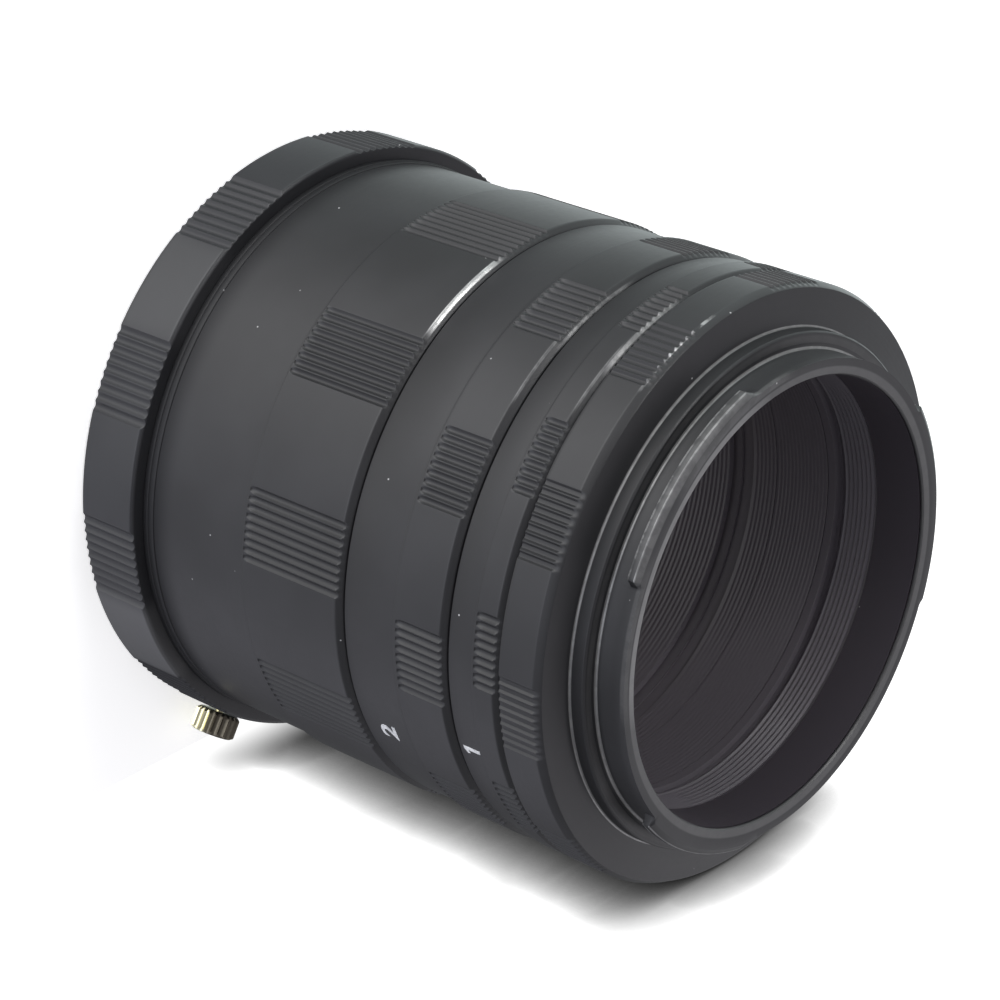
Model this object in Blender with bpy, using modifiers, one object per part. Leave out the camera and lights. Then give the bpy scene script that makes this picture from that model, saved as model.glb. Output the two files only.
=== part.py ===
"""Manual macro extension tube set, screwed together as one stack.

A lens-side ring with a bayonet throat, a sprung lock pin and a brass release knob; tubes 3, 2 and 1;
and a camera-side ring with a three-tab bayonet. Metres, +Z up along the optical axis. The stack stands
on its lens-side face at z = 0, and the release knob points along +X.
"""

import math

import bmesh
import bpy
from mathutils import Matrix, Vector

MM = 0.001

# Clearance between two pieces that seat on each other, and facets round a large ring
GAP = 0.3 * MM
RING_STEPS = 44
SMALL_STEPS = 16
NEAR_ARC_STEPS = 16
FAR_ARC_STEPS = 12

# Bore of the whole stack, and the walls that stand round it
BORE_RADIUS = 23.35 * MM
NECK_WALL = 1.85 * MM
STEP_WALL = 1.7 * MM
TAB_REACH = 1.0 * MM
NECK_RADIUS = BORE_RADIUS + NECK_WALL
STEP_RADIUS = NECK_RADIUS + STEP_WALL
TAB_RADIUS = NECK_RADIUS + TAB_REACH

# Lens-side throat and lugs, which take a lens whose bayonet is like the camera side's
THROAT_CLEARANCE = 0.25 * MM
LUG_CLEARANCE = 0.2 * MM
HUB_WALL = 1.05 * MM
THROAT_RADIUS = STEP_RADIUS + THROAT_CLEARANCE
LUG_RADIUS = NECK_RADIUS + LUG_CLEARANCE
HUB_RADIUS = THROAT_RADIUS + HUB_WALL
CAVITY_RADIUS = HUB_RADIUS + GAP

# Screwed joint between neighbours: a stub on the lens side of each piece, a recess on the camera side
THREAD_RADIUS = CAVITY_RADIUS
STUB_LENGTH = 2.1 * MM
RECESS_RADIUS = THREAD_RADIUS + GAP
RECESS_DEPTH = STUB_LENGTH + GAP

# Outside of the tubes and of the two end rings
TUBE_WALL = 2.15 * MM
BAND_RISE = 0.4 * MM
BODY_RADIUS = RECESS_RADIUS + TUBE_WALL
BAND_RADIUS = BODY_RADIUS + BAND_RISE
LENS_RING_HEIGHT = 7.75 * MM
CAMERA_RING_HEIGHT = 4.65 * MM
TUBE_LENGTHS = {"tube_3": 28.3 * MM, "tube_2": 13.8 * MM, "tube_1": 6.7 * MM}
BAND_LENGTHS = {"tube_3": 14.05 * MM, "tube_2": 7.1 * MM, "tube_1": 3.6 * MM}

# Front edge of each grip band, and the edges of the two end rings
FRONT_CHAMFER_WIDTH = 0.65 * MM
FRONT_CHAMFER_HEIGHT = 0.7 * MM
RING_CHAMFER = 0.35 * MM
CAMERA_CHAMFER_WIDTH = 0.45 * MM
CAMERA_CHAMFER_HEIGHT = 0.6 * MM

# Grip patches: V grooves along the axis, in groups round each band
PATCHES = 10
GROOVES_PER_PATCH = 9
GROOVE_DEPTH = 0.3 * MM
GROOVE_ANGLE = math.radians(1.63)
RING_GROOVE_ANGLE = math.radians(1.78)
GROOVE_START = 0.25 * MM
GROOVE_RUNOUT = 1.0 * MM
PATCH_ANGLES = {
    "lens_ring": math.radians(21.5),
    "tube_3": math.radians(3.5),
    "tube_2": math.radians(16.75),
    "tube_1": math.radians(9.2),
    "camera_ring": math.radians(19.5),
}

# Relief grooves turned in the bore: where each starts above its piece's seat, and its width
RELIEF_DEPTH = 1.2 * MM
TUBE_RELIEF_START = 5.45 * MM
TUBE_RELIEF_WIDTH = 2.4 * MM
CAMERA_RELIEF_START = -1.15 * MM
CAMERA_RELIEF_WIDTH = 1.05 * MM

# Camera-side bayonet, as heights above the flange face, with each tab's middle and width in degrees
STEP_HEIGHT = 1.75 * MM
STEP_CHAMFER = 0.2 * MM
NECK_HEIGHT = 5.2 * MM
TAB_THICKNESS = 1.25 * MM
TAB_CHAMFER = 0.45 * MM
TAB_FILLET = 0.9 * MM
BORE_CHAMFER = 0.25 * MM
TABS = ((0.5, 40.0), (128.7, 51.0), (252.6, 48.0))
LOCK_SLOT_ANGLE = 88.0
LOCK_SLOT_LENGTH = 2.4 * MM
LOCK_SLOT_DEPTH = 1.5 * MM

# Lock pin, its spring and the release knob
PIN_RADIUS = 0.8 * MM
PIN_CLEARANCE = 0.15 * MM
PIN_SINK = 0.05 * MM
COLLAR_WALL = 0.2 * MM
COLLAR_RADIUS = PIN_RADIUS + COLLAR_WALL
POCKET_CLEARANCE = 0.25 * MM
POCKET_WALL = 0.25 * MM
POCKET_RADIUS = COLLAR_RADIUS + POCKET_CLEARANCE
PIN_CIRCLE = RECESS_RADIUS + POCKET_WALL + POCKET_RADIUS

# Lens-side bayonet plate, let into the ring, whose lugs stand above the step of a lens
PLATE_THICKNESS = 1.2 * MM
PLATE_EDGE = 0.45 * MM
PLATE_RADIUS = PIN_CIRCLE + PIN_RADIUS + PIN_CLEARANCE + PLATE_EDGE
RING_RIM = 0.75 * MM
RING_RADIUS = PLATE_RADIUS + GAP + RING_RIM
STEP_CLEARANCE = 0.15 * MM
LUG_FLOOR = STEP_HEIGHT + STEP_CLEARANCE
LUG_THICKNESS = 1.5 * MM
LUG_CLEARANCE_ANGLE = 2.0
LOCK_TURN_ANGLE = 60.0
CAVITY_TOP = LENS_RING_HEIGHT - RECESS_DEPTH

# Screws that hold the plate
SCREW_ANGLES = (45.0, 135.0, 225.0, 315.0)
SCREW_SHANK_RADIUS = 0.7 * MM
SCREW_HEAD_RADIUS = 1.2 * MM
SCREW_HEAD_HEIGHT = 0.7 * MM
SCREW_LENGTH = 3.6 * MM
SCREW_SLOT_WIDTH = 0.35 * MM
SCREW_SLOT_DEPTH = 0.3 * MM
SCREW_SINK = 0.1 * MM
SCREW_WALL = 0.4 * MM
SCREW_CIRCLE = CAVITY_RADIUS + SCREW_WALL + SCREW_SHANK_RADIUS + GAP

# Leaf springs above the lugs
LEAF_INSET = 0.3 * MM
LEAF_INNER_RADIUS = LUG_RADIUS + LEAF_INSET
LEAF_OUTER_RADIUS = HUB_RADIUS - 2 * LEAF_INSET
LEAF_THICKNESS = 0.2 * MM
LEAF_BOW = 0.45 * MM
LEAF_ANGLE = math.radians(30.0)
LEAF_CUTS = 8

# Travel of the lock, and where the knob and the spring sit on it
LOCK_OUT = 1.0 * MM
LOCK_IN = 0.4 * MM
SHANK_RADIUS = 0.45 * MM
KNOB_SLOT_WALL = 0.2 * MM
KNOB_HEIGHT = PLATE_THICKNESS + GAP + KNOB_SLOT_WALL + SHANK_RADIUS + GAP + LOCK_OUT
COLLAR_HALF = 0.95 * MM
COLLAR_LOW = KNOB_HEIGHT - COLLAR_HALF
COLLAR_HIGH = KNOB_HEIGHT + COLLAR_HALF
SPIGOT_RADIUS = 0.3 * MM
SPIGOT_LENGTH = 0.5 * MM
POCKET_ROOF = 0.55 * MM
POCKET_TOP = LENS_RING_HEIGHT - GAP - POCKET_ROOF
SPRING_LENGTH = POCKET_TOP - COLLAR_HIGH - 2 * GAP
SPRING_PITCH = 0.475 * MM
SPRING_WIRE_RADIUS = 0.11 * MM
SPRING_TURNS = round(SPRING_LENGTH / SPRING_PITCH)
SPRING_POINTS_PER_TURN = 8
KNOB_RADIUS = 2.5 * MM
KNOB_LENGTH = 2.6 * MM
KNOB_CHAMFER = 0.35 * MM
KNOB_FLUTES = 20
KNOB_FLUTE_DEPTH = 0.28 * MM
KNOB_STEPS = 20
SHANK_INNER_END = PIN_CIRCLE + GAP

TUBE_ORDER = ("tube_3", "tube_2", "tube_1")

# A lens with the same tabs enters through these windows and turns until its slot meets the lock pin
LENS_WINDOWS = [
    (middle - LOCK_SLOT_ANGLE + LOCK_TURN_ANGLE, width + 2 * LUG_CLEARANCE_ANGLE) for middle, width in TABS
]


def clear_scene():
    for obj in list(bpy.data.objects):
        bpy.data.objects.remove(obj, do_unlink=True)


def make_material(name, color, roughness, metallic):
    material = bpy.data.materials.new(name)
    material.use_nodes = True
    shader = material.node_tree.nodes["Principled BSDF"]
    shader.inputs["Base Color"].default_value = (*color, 1.0)
    shader.inputs["Roughness"].default_value = roughness
    shader.inputs["Metallic"].default_value = metallic
    material.diffuse_color = (*color, 1.0)
    return material


def make_collection(name):
    collection = bpy.data.collections.new(name)
    bpy.context.scene.collection.children.link(collection)
    return collection


def link_object(name, data, material):
    """A piece has a material and goes with the parts. A cutter has none."""
    obj = bpy.data.objects.new(name, data)
    bpy.data.collections["extension_tube_set" if material else "cutters"].objects.link(obj)
    if material:
        data.materials.append(material)
    return obj


def add_object(name, bm, material=None):
    mesh = bpy.data.meshes.new(name)
    bm.to_mesh(mesh)
    bm.free()
    return link_object(name, mesh, material)


def turn(name, profile, material, steps=RING_STEPS, closed=True):
    """Turns an anticlockwise profile of (radius, height) points. An open one starts and ends on the axis."""
    bm = bmesh.new()
    points = [bm.verts.new((radius, 0.0, height)) for radius, height in profile]
    for first, second in zip(points, points[1:] + points[:1] if closed else points[1:]):
        bm.edges.new((first, second))
    obj = add_object(name, bm, material)
    screw = obj.modifiers.new("Turn", "SCREW")
    screw.axis = "Z"
    screw.angle = math.tau
    screw.steps = steps
    screw.render_steps = steps
    screw.use_merge_vertices = True
    screw.merge_threshold = 1e-6
    screw.use_normal_flip = True
    return obj


def cut(target, cutter):
    """Takes the cutter's solid out of the target."""
    cutter.hide_render = True
    cutter.display_type = "WIRE"
    cutter.parent = target
    boolean = target.modifiers.new(cutter.name, "BOOLEAN")
    boolean.operation = "DIFFERENCE"
    boolean.solver = "EXACT"
    boolean.object = cutter


def cut_grooves(target, radius, low, high, pitch, phase):
    """Cuts every grip patch of one ring with straight V grooves from low to high."""
    bm = bmesh.new()
    for patch in range(PATCHES):
        centre = phase + patch * math.tau / PATCHES
        for groove in range(GROOVES_PER_PATCH):
            angle = centre + (groove - (GROOVES_PER_PATCH - 1) / 2) * pitch
            place = Matrix.Rotation(angle, 4, "Z") @ Matrix.Translation((radius, 0.0, (low + high) / 2))
            bmesh.ops.create_cone(
                bm,
                cap_ends=True,
                segments=4,
                radius1=GROOVE_DEPTH,
                radius2=GROOVE_DEPTH,
                depth=high - low,
                matrix=place,
            )
    cut(target, add_object(target.name + "_groove_cutter", bm))


def arc_points(radius, start, end, count):
    """Points at a radius from one angle to another, both in degrees."""
    angles = [math.radians(start + (end - start) * i / (count - 1)) for i in range(count)]
    return [Vector((radius * math.cos(a), radius * math.sin(a), 0.0)) for a in angles]


def gap_outline(inner, outer, start, end, fillet):
    """A window between two tabs, with its two corners on the inner arc rounded."""
    turn_in = math.degrees(fillet / inner)
    points = arc_points(inner, start + turn_in, end - turn_in, NEAR_ARC_STEPS)
    corners = []
    for angle, side in ((end, 1), (start, -1)):
        centre_angle = math.radians(angle - side * turn_in)
        centre = Vector((math.cos(centre_angle), math.sin(centre_angle), 0.0)) * (inner + fillet)
        swing = [centre_angle + math.pi + side * math.radians(step) for step in (30, 60, 90)]
        corners.append([centre + Vector((math.cos(a), math.sin(a), 0.0)) * fillet for a in swing])
    far = arc_points(outer, end, start, FAR_ARC_STEPS)
    return points + corners[0] + far + corners[1][::-1]


def extrude_outline(name, outline, low, high):
    bm = bmesh.new()
    face = bm.faces.new([bm.verts.new((p.x, p.y, low)) for p in outline])
    moved = bmesh.ops.extrude_face_region(bm, geom=[face])["geom"]
    top = [item for item in moved if isinstance(item, bmesh.types.BMVert)]
    bmesh.ops.translate(bm, verts=top, vec=(0.0, 0.0, high - low))
    bmesh.ops.recalc_face_normals(bm, faces=bm.faces)
    return add_object(name, bm)


def cut_gaps(target, tabs, inner, outer, fillet, low, high):
    """Cuts the windows between tabs given as (middle, width) in degrees."""
    for index, (middle, width) in enumerate(tabs):
        next_middle, next_width = tabs[(index + 1) % len(tabs)]
        start = middle + width / 2
        end = next_middle - next_width / 2
        if end < start:
            end += 360.0
        outline = gap_outline(inner, outer, start, end, fillet)
        cut(target, extrude_outline(f"{target.name}_gap_cutter_{index + 1}", outline, low, high))


def rod_cutter(name, radius, low, high, place, steps=SMALL_STEPS):
    """A round cutter along its own Z from low to high, put in place by a matrix."""
    bm = bmesh.new()
    shift = Matrix.Translation((0.0, 0.0, (low + high) / 2))
    bmesh.ops.create_cone(
        bm,
        cap_ends=True,
        segments=steps,
        radius1=radius,
        radius2=radius,
        depth=high - low,
        matrix=place @ shift,
    )
    return add_object(name, bm)


def slot_cutter(name, radius, first, last, low, high, place):
    """A round-ended slot from first to last along its own X, cut from low to high along its own Z."""
    ends = ((last, -90.0), (first, 90.0))
    outline = []
    for centre, start in ends:
        for point in arc_points(radius, start, start + 180.0, 7):
            outline.append(point + Vector((centre, 0.0, 0.0)))
    cutter = extrude_outline(name, outline, low, high)
    cutter.data.transform(place)
    return cutter


def stub_profile(bore):
    """The threaded stub below a piece's seat, from its bore out to the seat."""
    return [(bore, -STUB_LENGTH), (THREAD_RADIUS, -STUB_LENGTH), (THREAD_RADIUS, 0.0)]


def relief_profile(low, width):
    """A relief groove in the bore, listed from its top down, with a sloped upper edge."""
    high = low + width
    return [
        (BORE_RADIUS, high + RELIEF_DEPTH / 3),
        (BORE_RADIUS + RELIEF_DEPTH, high),
        (BORE_RADIUS + RELIEF_DEPTH, low),
        (BORE_RADIUS, low),
    ]


def make_tube(name, base, material):
    length = TUBE_LENGTHS[name] - GAP
    band_low = length - BAND_LENGTHS[name] + GAP
    relief = relief_profile(TUBE_RELIEF_START, TUBE_RELIEF_WIDTH) if name == "tube_2" else []
    profile = [
        *stub_profile(BORE_RADIUS),
        (BODY_RADIUS, 0.0),
        (BODY_RADIUS, band_low),
        (BAND_RADIUS, band_low),
        (BAND_RADIUS, length - FRONT_CHAMFER_HEIGHT),
        (BAND_RADIUS - FRONT_CHAMFER_WIDTH, length),
        (RECESS_RADIUS, length),
        (RECESS_RADIUS, length - RECESS_DEPTH),
        (BORE_RADIUS, length - RECESS_DEPTH),
        *relief,
    ]
    tube = turn(name, profile, material)
    low = band_low + GROOVE_START
    cut_grooves(tube, BAND_RADIUS, low, length + GROOVE_RUNOUT, GROOVE_ANGLE, PATCH_ANGLES[name])
    tube.location.z = base
    return tube


def make_lens_ring(material):
    height = LENS_RING_HEIGHT - GAP
    profile = [
        (PLATE_RADIUS + GAP, 0.0),
        (RING_RADIUS - RING_CHAMFER, 0.0),
        (RING_RADIUS, RING_CHAMFER),
        (RING_RADIUS, height - RING_CHAMFER),
        (RING_RADIUS - RING_CHAMFER, height),
        (RECESS_RADIUS, height),
        (RECESS_RADIUS, CAVITY_TOP),
        (CAVITY_RADIUS, CAVITY_TOP),
        (CAVITY_RADIUS, PLATE_THICKNESS + GAP),
        (PLATE_RADIUS + GAP, PLATE_THICKNESS + GAP),
    ]
    ring = turn("lens_ring", profile, material)
    phase = PATCH_ANGLES["lens_ring"]
    cut_grooves(ring, RING_RADIUS, -GROOVE_RUNOUT, height + GROOVE_RUNOUT, RING_GROOVE_ANGLE, phase)
    pocket = Matrix.Translation((PIN_CIRCLE, 0.0, 0.0))
    cut(ring, rod_cutter("lock_pocket_cutter", POCKET_RADIUS, PLATE_THICKNESS, POCKET_TOP, pocket))
    radial = Matrix.Rotation(math.pi / 2, 4, "Y")
    slot = slot_cutter(
        "knob_slot_cutter",
        SHANK_RADIUS + GAP,
        -KNOB_HEIGHT - LOCK_IN,
        -KNOB_HEIGHT + LOCK_OUT,
        PIN_CIRCLE,
        RING_RADIUS + GAP,
        radial,
    )
    cut(ring, slot)
    for index, angle in enumerate(SCREW_ANGLES):
        place = Matrix.Rotation(math.radians(angle), 4, "Z") @ Matrix.Translation((SCREW_CIRCLE, 0.0, 0.0))
        radius = SCREW_SHANK_RADIUS + GAP
        top = SCREW_LENGTH + 2 * GAP
        hole = rod_cutter(f"ring_screw_cutter_{index + 1}", radius, PLATE_THICKNESS, top, place, 12)
        cut(ring, hole)
    return ring


def make_lens_plate(material):
    lug_top = LUG_FLOOR + LUG_THICKNESS
    profile = [
        (THROAT_RADIUS, 0.0),
        (PLATE_RADIUS, 0.0),
        (PLATE_RADIUS, PLATE_THICKNESS),
        (HUB_RADIUS, PLATE_THICKNESS),
        (HUB_RADIUS, lug_top),
        (LUG_RADIUS, lug_top),
        (LUG_RADIUS, LUG_FLOOR),
        (THROAT_RADIUS, LUG_FLOOR),
    ]
    plate = turn("lens_plate", profile, material)
    for index, (middle, width) in enumerate(LENS_WINDOWS):
        start = middle - width / 2
        end = middle + width / 2
        near = arc_points(LUG_RADIUS - MM, end, start, FAR_ARC_STEPS)
        outline = near + arc_points(THROAT_RADIUS, start, end, FAR_ARC_STEPS)
        name = f"lug_gap_cutter_{index + 1}"
        cut(plate, extrude_outline(name, outline, LUG_FLOOR - GAP, lug_top + GAP))
    place = Matrix.Translation((PIN_CIRCLE, 0.0, 0.0))
    radius = PIN_RADIUS + PIN_CLEARANCE
    cut(plate, rod_cutter("pin_hole_cutter", radius, -GAP, PLATE_THICKNESS + GAP, place))
    for index, angle in enumerate(SCREW_ANGLES):
        profile = [
            (0.0, -GAP),
            (SCREW_HEAD_RADIUS + 2 * GAP, -GAP),
            (SCREW_SHANK_RADIUS + GAP, SCREW_SINK + SCREW_HEAD_HEIGHT),
            (SCREW_SHANK_RADIUS + GAP, PLATE_THICKNESS + GAP),
            (0.0, PLATE_THICKNESS + GAP),
        ]
        hole = turn(f"countersink_cutter_{index + 1}", profile, None, 12, closed=False)
        hole.location = on_circle(SCREW_CIRCLE, angle)
        cut(plate, hole)
    return plate


def between(arcs):
    """The middle angle of each gap between arcs given as (middle, width) in degrees."""
    middles = []
    for index, (middle, width) in enumerate(arcs):
        next_middle, next_width = arcs[(index + 1) % len(arcs)]
        start = middle + width / 2
        gap = (next_middle - next_width / 2 - start) % 360.0
        middles.append(start + gap / 2)
    return middles


def on_circle(radius, angle, height=0.0):
    """A point at an angle in degrees round the axis."""
    turned = math.radians(angle)
    return Vector((radius * math.cos(turned), radius * math.sin(turned), height))


def make_screw(index, angle, material):
    """A countersunk screw, head down, with a straight slot."""
    profile = [
        (0.0, SCREW_SINK),
        (SCREW_HEAD_RADIUS, SCREW_SINK),
        (SCREW_SHANK_RADIUS, SCREW_SINK + SCREW_HEAD_HEIGHT),
        (SCREW_SHANK_RADIUS, SCREW_LENGTH),
        (0.0, SCREW_LENGTH),
    ]
    screw = turn(f"plate_screw_{index + 1}", profile, material, 12, closed=False)
    bm = bmesh.new()
    size = Matrix.Diagonal((4 * SCREW_HEAD_RADIUS, SCREW_SLOT_WIDTH, 2 * SCREW_SLOT_DEPTH, 1.0))
    bmesh.ops.create_cube(bm, size=1.0, matrix=Matrix.Translation((0.0, 0.0, SCREW_SINK)) @ size)
    cut(screw, add_object(f"screw_slot_cutter_{index + 1}", bm))
    screw.location = on_circle(SCREW_CIRCLE, angle)
    return screw


def make_leaf_spring(index, middle, material):
    """A bowed strip that presses a lens's tab against the lug below it."""
    bm = bmesh.new()
    bmesh.ops.create_grid(bm, x_segments=LEAF_CUTS, y_segments=1, size=0.5)
    for vert in bm.verts:
        radius = LEAF_INNER_RADIUS + (vert.co.y + 0.5) * (LEAF_OUTER_RADIUS - LEAF_INNER_RADIUS)
        angle = math.radians(middle) + vert.co.x * LEAF_ANGLE
        rise = LEAF_BOW * math.cos(vert.co.x * math.pi)
        vert.co = (radius * math.cos(angle), radius * math.sin(angle), rise)
    bmesh.ops.recalc_face_normals(bm, faces=bm.faces)
    leaf = add_object(f"leaf_spring_{index + 1}", bm, material)
    solidify = leaf.modifiers.new("Thickness", "SOLIDIFY")
    solidify.thickness = LEAF_THICKNESS
    solidify.offset = 0.0
    leaf.location.z = LUG_FLOOR + LUG_THICKNESS + GAP + LEAF_THICKNESS / 2
    return leaf


def make_lock_pin(material):
    """The lock pin with its collar, which takes the knob's shank, and a spigot for the spring."""
    profile = [
        (0.0, PIN_SINK),
        (PIN_RADIUS, PIN_SINK),
        (PIN_RADIUS, COLLAR_LOW),
        (COLLAR_RADIUS, COLLAR_LOW),
        (COLLAR_RADIUS, COLLAR_HIGH),
        (SPIGOT_RADIUS, COLLAR_HIGH),
        (SPIGOT_RADIUS, COLLAR_HIGH + SPIGOT_LENGTH),
        (0.0, COLLAR_HIGH + SPIGOT_LENGTH),
    ]
    pin = turn("lock_pin", profile, material, SMALL_STEPS, closed=False)
    radial = Matrix.Translation((0.0, 0.0, KNOB_HEIGHT)) @ Matrix.Rotation(math.pi / 2, 4, "Y")
    hole = rod_cutter("shank_hole_cutter", SHANK_RADIUS + PIN_CLEARANCE, 0.0, 2 * COLLAR_RADIUS, radial, 12)
    cut(pin, hole)
    return pin


def make_lock_spring(material):
    """A coil from the collar up to the blind end of its pocket."""
    low = COLLAR_HIGH + GAP + SPRING_WIRE_RADIUS
    high = low + SPRING_LENGTH - 2 * SPRING_WIRE_RADIUS
    coil_radius = (COLLAR_RADIUS + SPIGOT_RADIUS) / 2 + SPRING_WIRE_RADIUS
    curve = bpy.data.curves.new("lock_spring", "CURVE")
    curve.dimensions = "3D"
    curve.bevel_depth = SPRING_WIRE_RADIUS
    curve.bevel_resolution = 1
    curve.use_fill_caps = True
    spline = curve.splines.new("POLY")
    count = SPRING_TURNS * SPRING_POINTS_PER_TURN
    spline.points.add(count)
    for step, point in enumerate(spline.points):
        angle = math.tau * step / SPRING_POINTS_PER_TURN
        height = low + (high - low) * step / count
        point.co = (coil_radius * math.cos(angle), coil_radius * math.sin(angle), height, 1.0)
    return link_object("lock_spring", curve, material)


def make_knob(material):
    """The knurled brass head outside the ring and its shank through the slot."""
    start = RING_RADIUS + GAP
    profile = [
        (0.0, SHANK_INNER_END),
        (SHANK_RADIUS, SHANK_INNER_END),
        (SHANK_RADIUS, start),
        (KNOB_RADIUS - KNOB_CHAMFER, start),
        (KNOB_RADIUS, start + KNOB_CHAMFER),
        (KNOB_RADIUS, start + KNOB_LENGTH - KNOB_CHAMFER),
        (KNOB_RADIUS - KNOB_CHAMFER, start + KNOB_LENGTH),
        (0.0, start + KNOB_LENGTH),
    ]
    knob = turn("release_knob", profile, material, KNOB_STEPS, closed=False)
    bm = bmesh.new()
    for flute in range(KNOB_FLUTES):
        spin = Matrix.Rotation(math.tau * (flute + 0.5) / KNOB_FLUTES, 4, "Z")
        bmesh.ops.create_cone(
            bm,
            cap_ends=True,
            segments=4,
            radius1=KNOB_FLUTE_DEPTH,
            radius2=KNOB_FLUTE_DEPTH,
            depth=2 * KNOB_LENGTH,
            matrix=spin @ Matrix.Translation((KNOB_RADIUS, 0.0, start + KNOB_LENGTH / 2)),
        )
    cut(knob, add_object("knob_flute_cutter", bm))
    knob.rotation_euler.y = math.pi / 2
    knob.location = (-PIN_CIRCLE, 0.0, KNOB_HEIGHT)
    return knob


def make_lock(steel, brass):
    """The pin, its spring and the knob slide together along the pin's own axis."""
    axis = bpy.data.objects.new("lock_axis", None)
    bpy.data.collections["extension_tube_set"].objects.link(axis)
    axis.location.x = PIN_CIRCLE
    for piece in (make_lock_pin(steel), make_lock_spring(steel), make_knob(brass)):
        piece.parent = axis


def make_camera_ring(base, material):
    """The camera-side ring: screwed stub, grip rim, flange face, register step and bayonet neck."""
    flange = CAMERA_RING_HEIGHT
    step_top = flange + STEP_HEIGHT
    top = flange + NECK_HEIGHT
    profile = [
        *stub_profile(BORE_RADIUS),
        (BAND_RADIUS, 0.0),
        (BAND_RADIUS, flange - CAMERA_CHAMFER_HEIGHT),
        (BAND_RADIUS - CAMERA_CHAMFER_WIDTH, flange),
        (STEP_RADIUS, flange),
        (STEP_RADIUS, step_top - STEP_CHAMFER),
        (STEP_RADIUS - STEP_CHAMFER, step_top),
        (NECK_RADIUS, step_top),
        (NECK_RADIUS, top - TAB_THICKNESS),
        (TAB_RADIUS, top - TAB_THICKNESS),
        (TAB_RADIUS, top - TAB_CHAMFER),
        (TAB_RADIUS - TAB_CHAMFER, top),
        (BORE_RADIUS + BORE_CHAMFER, top),
        (BORE_RADIUS, top - BORE_CHAMFER),
        *relief_profile(CAMERA_RELIEF_START, CAMERA_RELIEF_WIDTH),
    ]
    ring = turn("camera_ring", profile, material)
    cut_grooves(
        ring,
        BAND_RADIUS,
        -GROOVE_RUNOUT,
        flange + GROOVE_RUNOUT,
        GROOVE_ANGLE,
        PATCH_ANGLES["camera_ring"],
    )
    under_tabs = top - TAB_THICKNESS - GAP
    cut_gaps(ring, TABS, NECK_RADIUS, TAB_RADIUS + MM, TAB_FILLET, under_tabs, top + GAP)
    across = LOCK_SLOT_LENGTH / 2
    turned = Matrix.Rotation(math.radians(LOCK_SLOT_ANGLE), 4, "Z")
    place = turned @ Matrix.Translation((PIN_CIRCLE - across, 0.0, 0.0))
    slot = slot_cutter(
        "lock_slot_cutter",
        PIN_RADIUS + PIN_CLEARANCE,
        across / 2,
        across * 3 / 2,
        flange - LOCK_SLOT_DEPTH,
        flange + GAP,
        place,
    )
    cut(ring, slot)
    ring.location.z = base
    return ring


def build():
    clear_scene()
    make_collection("extension_tube_set")
    make_collection("cutters")
    black = make_material("black_anodised", (0.022, 0.022, 0.024), 0.42, 0.6)
    steel = make_material("bright_steel", (0.55, 0.55, 0.56), 0.3, 1.0)
    plated = make_material("plated_plate", (0.6, 0.6, 0.6), 0.28, 1.0)
    brass = make_material("brass", (0.75, 0.62, 0.33), 0.28, 1.0)
    make_lens_ring(black)
    make_lens_plate(plated)
    for index, angle in enumerate(SCREW_ANGLES):
        make_screw(index, angle, steel)
    for index, middle in enumerate(between(LENS_WINDOWS)):
        make_leaf_spring(index, middle, steel)
    make_lock(steel, brass)
    base = LENS_RING_HEIGHT
    for name in TUBE_ORDER:
        make_tube(name, base, black)
        base += TUBE_LENGTHS[name]
    make_camera_ring(base, black)


build()
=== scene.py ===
import math

import bmesh
import bpy
from mathutils import Matrix, Vector


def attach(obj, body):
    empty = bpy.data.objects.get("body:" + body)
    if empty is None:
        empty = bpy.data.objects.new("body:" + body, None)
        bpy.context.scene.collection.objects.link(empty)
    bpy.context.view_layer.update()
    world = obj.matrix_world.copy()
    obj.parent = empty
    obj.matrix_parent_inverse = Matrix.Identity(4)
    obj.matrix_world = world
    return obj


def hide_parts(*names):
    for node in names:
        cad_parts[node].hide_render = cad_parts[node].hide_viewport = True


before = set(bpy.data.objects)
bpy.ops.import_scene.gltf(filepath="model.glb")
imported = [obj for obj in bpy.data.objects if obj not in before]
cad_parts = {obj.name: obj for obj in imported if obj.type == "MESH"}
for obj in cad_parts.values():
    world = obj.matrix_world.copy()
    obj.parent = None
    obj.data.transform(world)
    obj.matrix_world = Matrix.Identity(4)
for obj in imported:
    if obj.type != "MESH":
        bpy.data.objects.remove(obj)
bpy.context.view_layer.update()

# ---- Camera, light and floor ----
# The stack stands on its lens side, and the camera is rolled so that the optical axis runs to the right, as
# in the photograph. The surroundings are a light tent, lit in patches by the lamps behind its cloth.

MM = 0.001

camera_data = bpy.data.cameras.new("camera")
camera_data.lens = 121.2057
camera_data.sensor_width = 36.0
camera_data.clip_start = 0.01
camera = bpy.data.objects.new("camera", camera_data)
bpy.context.scene.collection.objects.link(camera)
camera.matrix_world = Matrix(
    (
        (-0.355199, -0.934785, -0.003305, -0.000729),
        (0.557550, -0.209017, -0.803399, -0.284124),
        (0.750314, -0.287209, 0.595432, 0.239579),
        (0.0, 0.0, 0.0, 1.0),
    )
)
bpy.context.scene.camera = camera
bpy.context.scene.view_settings.view_transform = "Standard"


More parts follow.
